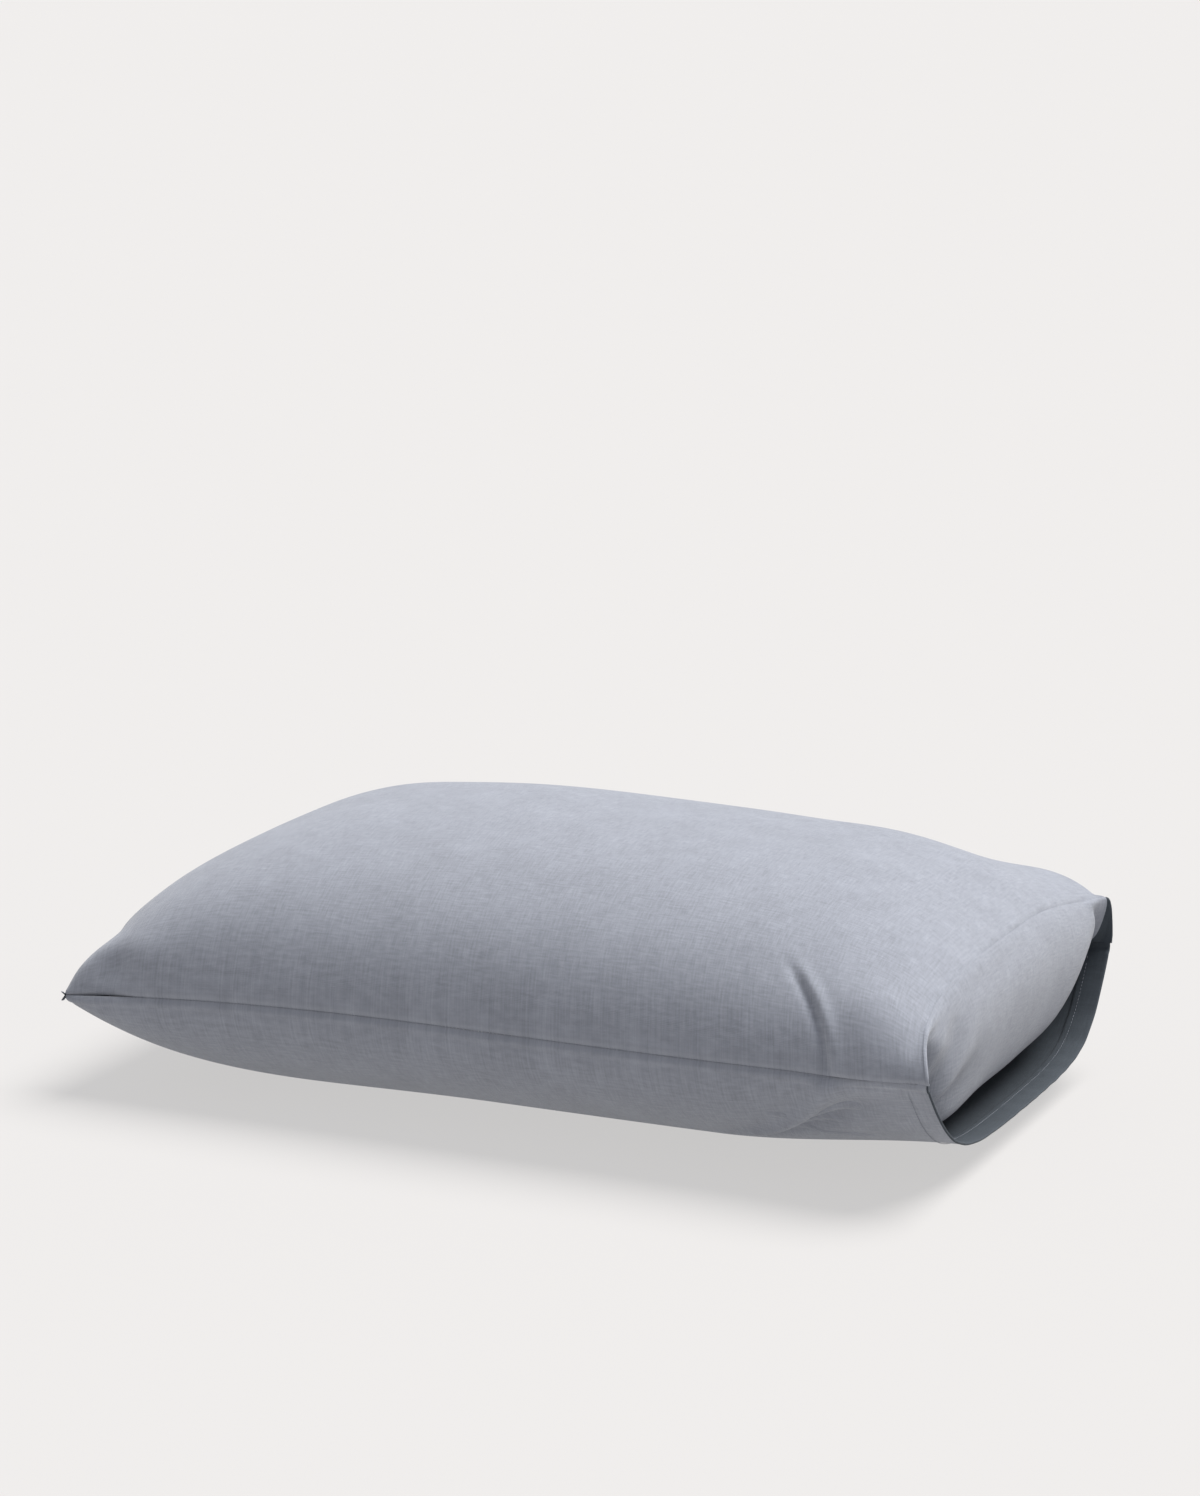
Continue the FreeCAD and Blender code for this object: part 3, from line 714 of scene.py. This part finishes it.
def loose_fibre():
    """Matted white fibre: layered noise on Object coordinates."""
    material, tree, shader = new_material("loose_fibre")
    place = node(tree, "ShaderNodeTexCoord").outputs["Object"]
    fibre = node(tree, "ShaderNodeTexNoise",
                 {"Scale": 240.0, "Detail": 6.0, "Roughness": 0.7, "Distortion": 1.2})
    tree.links.new(place, fibre.inputs["Vector"])
    blend_two(tree, fibre.outputs["Fac"], (0.62, 0.61, 0.59), (0.86, 0.86, 0.84),
              shader.inputs["Base Color"])
    relief = node(tree, "ShaderNodeBump", {"Strength": 0.8, "Distance": 0.0008})
    tree.links.new(fibre.outputs["Fac"], relief.inputs["Height"])
    tree.links.new(relief.outputs["Normal"], shader.inputs["Normal"])
    shader.inputs["Roughness"].default_value = 0.95
    return material


# ---------------------------------------------------------------- stage

class PILLOW_OT_stage(bpy.types.Operator):
    """Seamless pale floor, soft studio light and the camera"""

    bl_idname = "pillow.stage"
    bl_label = "Stage"

    def execute(self, context):
        context.scene.view_settings.view_transform = "Standard"
        self.add_floor(context.scene)
        self.add_light(context.scene)
        self.add_camera(context.scene)
        return {"FINISHED"}

    def add_floor(self, scene):
        """Round floor of seamless paper: level, then rising as a parabola far out."""
        floor_radius, level_radius, steepness = 60, 24, 0.02
        turn = np.linspace(0, 2 * np.pi, 97)[:, None]
        reach = np.linspace(0, 1, 60)[None, :] ** 2 * floor_radius
        turn, reach = np.broadcast_arrays(turn, reach)
        rise = steepness * np.clip(reach - level_radius, 0, None) ** 2
        points = np.stack([reach * np.cos(turn), reach * np.sin(turn), rise], -1)
        mesh = sheet_mesh("studio_floor", points, np.stack([turn, reach], -1), flip=True)
        material, tree, shader = new_material("studio_paper")
        place = node(tree, "ShaderNodeTexCoord").outputs["Object"]
        grain = node(tree, "ShaderNodeTexNoise", {"Scale": 3.0, "Detail": 5.0})
        tree.links.new(place, grain.inputs["Vector"])
        paper = list(colours().floor)
        blend_two(tree, grain.outputs["Fac"], [c * 0.99 for c in paper], paper,
                  shader.inputs["Base Color"])
        shader.inputs["Roughness"].default_value = 1.0
        shader.inputs["Specular IOR Level"].default_value = 0.0
        shader.inputs["Emission Color"].default_value = (1.0, 0.985, 0.975, 1)
        shader.inputs["Emission Strength"].default_value = 0.55
        mesh.materials.append(material)
        floor = bpy.data.objects.new("studio_floor", mesh)
        scene.collection.objects.link(floor)

    def add_light(self, scene):
        """A soft key from overhead, a little behind and to the right, in even cool air."""
        air = bpy.data.worlds.new("studio_air")
        scene.world = air
        air.use_nodes = True
        background = air.node_tree.nodes["Background"]
        background.inputs["Color"].default_value = (0.90, 0.96, 1.10, 1)
        background.inputs["Strength"].default_value = 0.36
        lamp = bpy.data.lights.new("soft_key", "SUN")
        lamp.energy = 6.2
        lamp.color = (1.0, 0.985, 0.96)
        lamp.angle = math.radians(40)
        key = bpy.data.objects.new("soft_key", lamp)
        scene.collection.objects.link(key)
        light_way = Vector((-0.28, -0.35, -0.89))
        key.rotation_euler = light_way.to_track_quat("-Z", "Y").to_euler()

    def add_camera(self, scene):
        """Camera at the near right, a little above the pillow."""
        azimuth, elevation = math.radians(24.91), math.radians(12.81)
        target, distance = Vector((0.0052, 0, 0.2632)), 3.1355
        back = Vector((math.sin(azimuth) * math.cos(elevation),
                       -math.cos(azimuth) * math.cos(elevation), math.sin(elevation)))
        lens = bpy.data.cameras.new("camera")
        lens.sensor_width = 36.0
        lens.lens = 98.7
        camera = bpy.data.objects.new("camera", lens)
        scene.collection.objects.link(camera)
        camera.location = target + back * distance
        camera.rotation_euler = (-back).to_track_quat("-Z", "Y").to_euler()
        scene.camera = camera


# ---------------------------------------------------------------- case

class PILLOW_OT_case_panels(bpy.types.Operator):
    """Top and bottom panels of the case, swollen by the insert"""

    bl_idname = "pillow.case_panels"
    bl_label = "Case panels"

    def execute(self, context):
        c, d = case_sizes(), detail()
        x, v, along = panel_grid(d.along, d.across, mouth_edge_x)
        top = add_piece(
            "case_top", sheet_mesh("case_top", top_surface(x, v), flat_uv(along, v)),
            case_cloth(), "case", "case_cloth", "case_top_panel")
        x, v, along = panel_grid(d.along, d.across, lip_edge_x)
        bottom = add_piece(
            "case_bottom",
            sheet_mesh("case_bottom", bottom_surface(x, v), flat_uv(along, v), flip=True),
            case_cloth(), "case", "case_cloth", "case_bottom_panel")
        for piece in (top, bottom):
            thicken(piece, c.cloth)
            # Painted shade: the inner shell gets the far darker cloth, which stands in for the shade
            # inside the case and its mouth.
            piece.data.materials.append(case_cloth_painted_shade())
            piece.modifiers["ply"].material_offset = 1
            flatten_with_insert(piece)
        return {"FINISHED"}


class PILLOW_OT_flap(bpy.types.Operator):
    """Flap that crosses the mouth and is tucked in under the insert"""

    bl_idname = "pillow.flap"
    bl_label = "Flap"

    def execute(self, context):
        c, d = case_sizes(), detail()
        points, v = flap_surface(FLAP_ROWS, d.across)
        points = points + normals(points) * flap_relief(points, v)[..., None]
        down = run_length(points, 0)
        across = np.broadcast_to((v[None, :] + 1) / 2 * c.flat_width, down.shape)
        flap = add_piece(
            "flap", sheet_mesh("flap", points, np.stack([down, across], -1), flip=True),
            case_cloth(), "case", "case_cloth", "case_flap")
        thicken(flap, c.cloth)
        flap.data.materials.append(case_cloth_painted_shade())
        # Painted shade: the faces beside the far seam get the far darker cloth, which stands in for the
        # shade in the mouth's far corner.
        far_strip = 0.975
        painted_shade_beside_seam = np.broadcast_to(v[:-1] > far_strip, (len(points) - 1, len(v) - 1))
        flap.data.polygons.foreach_set("material_index", painted_shade_beside_seam.reshape(-1).astype(np.int32))
        flatten_with_insert(flap)
        hem = points[-FLAP_HEM_ROWS:]
        under = hem + np.array([0, 0, 0.0008])
        strip = np.concatenate([hem[-1:] + [-0.0004, 0, 0.0002], under[::-1]])
        uv = np.stack([run_length(strip, 0), np.broadcast_to(across[:1], strip.shape[:2])], -1)
        hem_piece = add_piece(
            "flap_hem", sheet_mesh("flap_hem", strip, uv),
            case_cloth(), "case", "case_cloth", "case_flap_hem")
        thicken(hem_piece, c.cloth)
        flatten_with_insert(hem_piece)
        return {"FINISHED"}


class PILLOW_OT_mouth_hem(bpy.types.Operator):
    """Hem turned in along the lip of the mouth"""

    bl_idname = "pillow.mouth_hem"
    bl_label = "Mouth hem"

    def execute(self, context):
        c, d = case_sizes(), detail()
        v = 0.996 * across_shares(d.across)
        turn = np.linspace(-np.pi / 2, np.pi / 2, 7)
        hem_depth, ply, roll = 0.0195, 0.0011, 0.0007
        inward = np.linspace(0.0, hem_depth, 16)[1:]
        reach = np.concatenate([roll * np.cos(turn), -inward, [-0.0199]])
        depth = np.concatenate([ply / 2 * (1 + np.sin(turn)), 0 * inward + ply, [ply * 0.35]])
        base_x = c.lip_x + np.minimum(reach, 0)
        x, across = np.meshgrid(base_x, v, indexing="ij")
        rows = np.linspace(0.30, 0.351, 40)
        lip = bottom_surface(*panel_strip(v, rows[0], rows[-1], len(rows)))
        base = rows_at(lip, rows, base_x)
        outward = rows_at(normals(lip), rows, base_x)
        points = base + outward * depth[:, None, None]
        points[..., 0] += np.clip(reach, 0, None)[:, None]
        waver = 0.00025 * noise(across * 40, 0 * across, 21)
        points = points + outward * waver[..., None]
        uv = np.stack([np.broadcast_to(reach[:, None], x.shape),
                       (across + 1) / 2 * c.flat_width], -1)
        # Painted shade: the whole hem gets the far darker cloth, which stands in for the shade on the
        # lip inside the mouth.
        hem = add_piece("mouth_hem", sheet_mesh("mouth_hem", points, uv),
                        case_cloth_painted_shade(), "case", "case_cloth", "case_mouth_hem")
        thicken(hem, 0.0005)
        flatten_with_insert(hem)
        return {"FINISHED"}


def panel_strip(v, low, high, rows):
    """Grid of a strip of the bottom panel: x between two places, and shares across."""
    return np.meshgrid(np.linspace(low, high, rows), v, indexing="ij")


def rows_at(grid, places, wanted):
    """Rows of a grid at wanted places, between its rows in straight lines."""
    at = np.interp(wanted, places, np.arange(len(places)))
    low = np.clip(np.floor(at).astype(int), 0, len(places) - 2)
    share = (at - low)[:, None, None]
    return grid[low] * (1 - share) + grid[low + 1] * share


class PILLOW_OT_case_stitching(bpy.types.Operator):
    """Sewing of the case: its seams and the stitch lines of both hems"""

    bl_idname = "pillow.case_stitching"
    bl_label = "Case stitching"

    def execute(self, context):
        c = case_sizes()
        beside_edge, below_lip = 0.0011, 0.00065
        along = np.linspace(c.closed_x + 0.018, c.lip_x - 0.006, 500)
        for name, side, cad in (("near_seam_stitches", NEAR, "case_near_seam_thread"),
                                ("far_seam_stitches", FAR, "case_far_seam_thread")):
            path = top_point(along, np.full_like(along, side))
            path[:, 1] -= side * beside_edge
            self.sew(name, path, np.array([0, side, 0.0]), cad)
        across = np.linspace(-0.93, 0.93, 400)
        path = top_point(closed_end_x(across), across)
        path[:, 0] += beside_edge
        self.sew("closed_end_stitches", path, np.array([-1.0, 0, 0]), "case_closed_end_thread")
        across = np.linspace(-0.97, 0.97, 400)
        path = top_point(mouth_edge_x(across), across)
        path = path + np.array([-0.0006, 0, -0.0009])
        path[:, 2] -= 0.003 * (1 - seam_shown(across))
        self.sew("flap_seam_stitches", path, np.array([0.6, 0, 0.8]), "case_flap_seam_thread")
        across = np.linspace(-0.97, 0.97, 500)
        strip = bottom_surface(*panel_strip(across, 0.325, 0.345, 9))
        up = normals(strip)[4]
        inner = strip[4] + up * 0.0017
        outer = strip[4] - up * below_lip
        self.sew("mouth_hem_stitches", inner, up, "case_mouth_hem_thread")
        self.sew("mouth_hem_outer_stitches", outer, -up)
        points = flap_surface(FLAP_ROWS, 200)[0]
        path = points[-FLAP_HEM_STITCH_ROW] + np.array([0, 0, 0.0015])
        self.sew("flap_hem_stitches", path[4:-4], np.array([0, 0, 1.0]), "case_flap_hem_thread")
        return {"FINISHED"}

    def sew(self, name, path, up, *nodes):
        """Row of stitches on the case."""
        mesh = stitch_row(name, path, up, detail().stitch, STITCH_RADIUS)
        piece = add_piece(name, mesh, case_thread(), "case", "case_thread", *nodes)
        flatten_with_insert(piece)


def stitch_row(name, path, up, pitch, radius):
    """Row of short stitches along a path: each is a six-sided grain that dips in at both ends.

    Along a stitch its radius is a half ellipse and its height a half sine.
    """
    up = np.broadcast_to(up, path.shape)
    run = np.concatenate([[0], np.cumsum(np.linalg.norm(np.diff(path, axis=0), axis=1))])
    count = int(run[-1] / pitch)
    station = np.array([0.0, 0.16, 0.5, 0.84, 1.0])
    size = np.array([0.35, 0.85, 1.0, 0.85, 0.35]) * radius
    lift = np.array([-1.3, -0.2, 0.3, -0.2, -1.3]) * radius
    at = (np.arange(count)[:, None] + 0.12 + 0.76 * station[None, :]) * run[-1] / count
    centre = np.stack([np.interp(at, run, path[:, k]) for k in range(3)], -1)
    above = np.stack([np.interp(at, run, up[:, k]) for k in range(3)], -1)
    ahead = unit(np.gradient(centre, axis=1))
    side = unit(np.cross(above, ahead))
    above = np.cross(ahead, side)
    turn = np.arange(6) * np.pi / 3
    ring = np.cos(turn)[:, None] * side[..., None, :] + np.sin(turn)[:, None] * above[..., None, :]
    points = centre[..., None, :] + ring * size[None, :, None, None]
    points = points + (above * lift[None, :, None])[..., None, :]
    index = np.arange(30).reshape(5, 6)
    after = np.roll(index, -1, axis=1)
    walls = np.stack([index[:-1], after[:-1], after[1:], index[1:]], -1).reshape(-1, 4)
    caps = np.array([[0, 5, 4, 3], [0, 3, 2, 1], [24, 25, 26, 27], [24, 27, 28, 29]])
    quads = np.concatenate([walls, caps])
    quads = (np.arange(count)[:, None, None] * 30 + quads[None]).reshape(-1, 4)
    return quad_mesh(name, points.reshape(-1, 3), quads)


def tube(name, path, radius, sides):
    """Tube along a closed path that stays nearly level: a circle carried along it."""
    ahead = unit(np.roll(path, -1, axis=0) - np.roll(path, 1, axis=0))
    up = np.array([0, 0, 1.0])
    side = unit(np.cross(ahead, up))
    above = np.cross(side, ahead)
    turn = np.arange(sides) * 2 * np.pi / sides
    ring = np.cos(turn)[:, None] * side[:, None] + np.sin(turn)[:, None] * above[:, None]
    points = path[:, None] + radius * ring
    index = np.arange(points.shape[0] * sides).reshape(-1, sides)
    nxt, after = np.roll(index, -1, axis=0), np.roll(index, -1, axis=1)
    both = np.roll(nxt, -1, axis=1)
    quads = np.stack([index, nxt, both, after], -1).reshape(-1, 4)
    run = np.concatenate([[0], np.cumsum(np.linalg.norm(np.diff(path, axis=0), axis=1))])
    uv = np.stack(np.broadcast_arrays(run[:, None], radius * turn[None]), -1).reshape(-1, 2)
    return quad_mesh(name, points.reshape(-1, 3), quads, uv)


# ---------------------------------------------------------------- insert

class PILLOW_OT_insert(bpy.types.Operator):
    """Insert: two covers, filling, piped edge and its sewing"""

    bl_idname = "pillow.insert"
    bl_label = "Insert"

    def execute(self, context):
        x, v, along = insert_grid(170, 120)
        for name, cad, side in (("insert_cover_top", "insert_ticking_top", 1),
                                ("insert_cover_bottom", "insert_ticking_bottom", -1)):
            points = insert_point(x, v, side, 0.0)
            from_side, from_end = run_length(points, 1), run_length(points, 0)
            to_edge = np.minimum(from_side, from_side[:, ::-1])
            to_edge = np.minimum(to_edge, np.minimum(from_end, from_end[-1:] - from_end))
            pucker = noise(x * 120, v * 22, 31) * np.exp(-to_edge / 0.018) * ease(0, 0.004, to_edge)
            soft = noise(x * 22, v * 5, 32) * ease(0, 0.05, to_edge)
            inward = 0.0010 * (1 - pucker) * ease(0, 0.004, to_edge) + 0.0008 * (1 - soft)
            keep = ease(0.010, 0.03, points[..., 2]) * ease(0, 0.003, to_edge)
            points = points - side * normals(points) * (inward * keep)[..., None]
            uv = np.stack([along * INSERT_FLAT_LENGTH, (v + 1) / 2 * INSERT_FLAT_WIDTH], -1)
            cover = add_piece(name, sheet_mesh(name, points, uv, flip=side < 0),
                              ticking_cloth(), "insert", "ticking_cloth", cad)
            thicken(cover, 0.0006)
        self.add_fill()
        mesh = tube("insert_piping", insert_edge(0.0), PIPING_RADIUS, 12)
        add_piece("insert_piping_cord", mesh, ticking_cloth(), "insert", "ticking_cloth",
                  "insert_piping")
        sewn = insert_edge(0.0034)
        sewn = np.concatenate([sewn, sewn[:1]])
        sewn[:, 2] += 0.0014
        mesh = stitch_row("insert_stitches", sewn, np.array([0, 0, 1.0]), detail().stitch,
                          STITCH_RADIUS)
        add_piece("insert_stitches", mesh, ticking_thread(), "insert", "ticking_thread",
                  "insert_seam_thread")
        return {"FINISHED"}

    def add_fill(self):
        """Filling: the covers' shape, a little smaller, closed round its edge."""
        x, v, along = insert_grid(110, 80)
        upper, lower = insert_point(x, v, 1, 0.004), insert_point(x, v, -1, 0.0012)
        scale = np.array([0.985, 0.985, 1.0])
        parts = bmesh.new()
        for points, flip in ((upper * scale, False), (lower * scale, True)):
            mesh = sheet_mesh("part", points, np.stack([x, v], -1), flip=flip)
            parts.from_mesh(mesh)
            bpy.data.meshes.remove(mesh)
        bmesh.ops.remove_doubles(parts, verts=parts.verts, dist=0.0004)
        bmesh.ops.recalc_face_normals(parts, faces=parts.faces)
        mesh = bpy.data.meshes.new("insert_filling")
        parts.to_mesh(mesh)
        parts.free()
        filling = add_piece("insert_filling", mesh, loose_fibre(), "insert", "fibre_fill",
                            "insert_fill")


def insert_grid(rows, columns):
    """Places on the insert: x from end to end, share v across, and share along."""
    t = np.linspace(-0.5, 0.5, rows)[:, None]
    t, v = np.broadcast_arrays(t, across_shares(columns)[None, :])
    low, high = INSERT_LOW[0] + PIPING_ROOM, INSERT_HIGH[0] - PIPING_ROOM
    x = (low + high) / 2 + (high - low) / 2 * np.sin(t * np.pi)
    return x, v, t + 0.5


def insert_point(x, v, side, inset):
    """Crowned half of the insert above or below its edge, with corners rounded in plan.

    The crown is the height times (1 - |share along|^2.8)^(1/2) times the arch across.
    """
    crown, belly, lowest = TICKING_TOP - 0.0925, 0.094, 0.0048
    low, high = INSERT_LOW[0] + PIPING_ROOM, INSERT_HIGH[0] - PIPING_ROOM
    to_end = np.minimum(x - low, high - x)
    into = np.clip(INSERT_CORNER - to_end, 0, INSERT_CORNER)
    width = INSERT_HIGH[1] - PIPING_ROOM - INSERT_CORNER + np.sqrt(INSERT_CORNER ** 2 - into ** 2)
    share = np.where(x < 0, x / low, x / high)
    full = np.sqrt(np.clip(1 - share ** 2.8, 0, 1))
    seam = insert_seam_height(x)
    if side > 0:
        z = seam + (crown - inset) * full * arch(v, 2.2)
    else:
        z = np.maximum(seam - (belly - inset) * full * arch(v, 2.2), lowest + inset)
    return np.stack([x, v * width, z], -1)


def insert_seam_height(x):
    """Height of the insert's edge above the floor along its length."""
    share = np.clip(np.abs(x) / 0.35, 0, 1) ** 2.5
    end = np.where(x < 0, 0.080, INSERT_SEAM_Z)
    return INSERT_SEAM_Z + (end - INSERT_SEAM_Z) * share


def insert_edge(inset):
    """Closed path round the insert: a rectangle with rounded corners, set in from the piping."""
    low, high = INSERT_LOW + PIPING_RADIUS + inset, INSERT_HIGH - PIPING_RADIUS - inset
    radius = INSERT_CORNER + 0.002 - inset
    parts = []
    for turn, cx, cy in ((0.0, high[0], high[1]), (0.5, low[0], high[1]),
                         (1.0, low[0], low[1]), (1.5, high[0], low[1])):
        angle = np.pi * (turn + np.linspace(0, 0.5, 25))
        middle = np.array([cx - radius * np.sign(cx), cy - radius * np.sign(cy)])
        parts.append(middle + radius * np.stack([np.cos(angle), np.sin(angle)], -1))
    corners = np.concatenate(parts + [parts[0][:1]])
    run = np.concatenate([[0], np.cumsum(np.linalg.norm(np.diff(corners, axis=0), axis=1))])
    at = np.linspace(0, run[-1], 900, endpoint=False)
    x, y = np.interp(at, run, corners[:, 0]), np.interp(at, run, corners[:, 1])
    return np.stack([x, y, insert_seam_height(x)], -1)


class PILLOW_OT_labels(bpy.types.Operator):
    """Blank care labels of the case and of the insert"""

    bl_idname = "pillow.labels"
    bl_label = "Care labels"

    def execute(self, context):
        for name, cad, body, bend in (("case_label", "case_care_label", "case", 0.0012),
                                      ("insert_label", "insert_care_label", "insert", 0.0008)):
            low, high = [np.array(corner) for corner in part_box(cad)]
            wide, tall = high[1] - low[1], high[2] - low[2]
            y, z = np.meshgrid(np.linspace(0, 1, 24), np.linspace(0, 1, 36), indexing="ij")
            curve = bend * np.sin(z * 4.2 + y) * (1 - z)
            points = np.stack([(low[0] + high[0]) / 2 + curve, low[1] + wide * y,
                               low[2] + tall * z], -1)
            mesh = sheet_mesh(name, points, np.stack([y * wide, z * tall], -1))
            label = add_piece(name, mesh, ribbon_cloth(), body, "label_cloth", cad)
            thicken(label, 0.0003, offset=0.0)
            if body == "case":
                flatten_with_insert(label)
        return {"FINISHED"}


# ---------------------------------------------------------------- panel and registration

class PILLOW_PT_panel(bpy.types.Panel):
    """Sizes, colours and steps of the pillow"""

    bl_label = "Bed Pillow"
    bl_idname = "PILLOW_PT_panel"
    bl_space_type = "VIEW_3D"
    bl_region_type = "UI"
    bl_category = "Pillow"

    def draw(self, context):
        for step in STEPS:
            self.layout.operator(step.bl_idname)
        for settings in (case_sizes(), colours(), detail()):
            for key in settings.__annotations__:
                self.layout.prop(settings, key)


SETTINGS = (PillowCaseSizes, PillowColours, PillowDetail)
STEPS = (PILLOW_OT_stage, PILLOW_OT_insert, PILLOW_OT_case_panels, PILLOW_OT_flap,
         PILLOW_OT_mouth_hem, PILLOW_OT_case_stitching, PILLOW_OT_labels)


def register():
    """Adds the classes and the scene's settings."""
    for made in SETTINGS + STEPS + (PILLOW_PT_panel,):
        bpy.utils.register_class(made)
    bpy.types.Scene.pillow_case = PointerProperty(type=PillowCaseSizes)
    bpy.types.Scene.pillow_colours = PointerProperty(type=PillowColours)
    bpy.types.Scene.pillow_detail = PointerProperty(type=PillowDetail)


def unregister():
    """Takes the settings and the classes away."""
    for key in ("pillow_case", "pillow_colours", "pillow_detail"):
        delattr(bpy.types.Scene, key)
    for made in reversed(SETTINGS + STEPS + (PILLOW_PT_panel,)):
        bpy.utils.unregister_class(made)


def main():
    """Makes the stage and every piece."""
    register()
    bpy.ops.pillow.stage()
    bpy.ops.pillow.insert()
    bpy.ops.pillow.case_panels()
    bpy.ops.pillow.flap()
    bpy.ops.pillow.mouth_hem()
    bpy.ops.pillow.case_stitching()
    bpy.ops.pillow.labels()


if __name__ == "__main__":
    main()
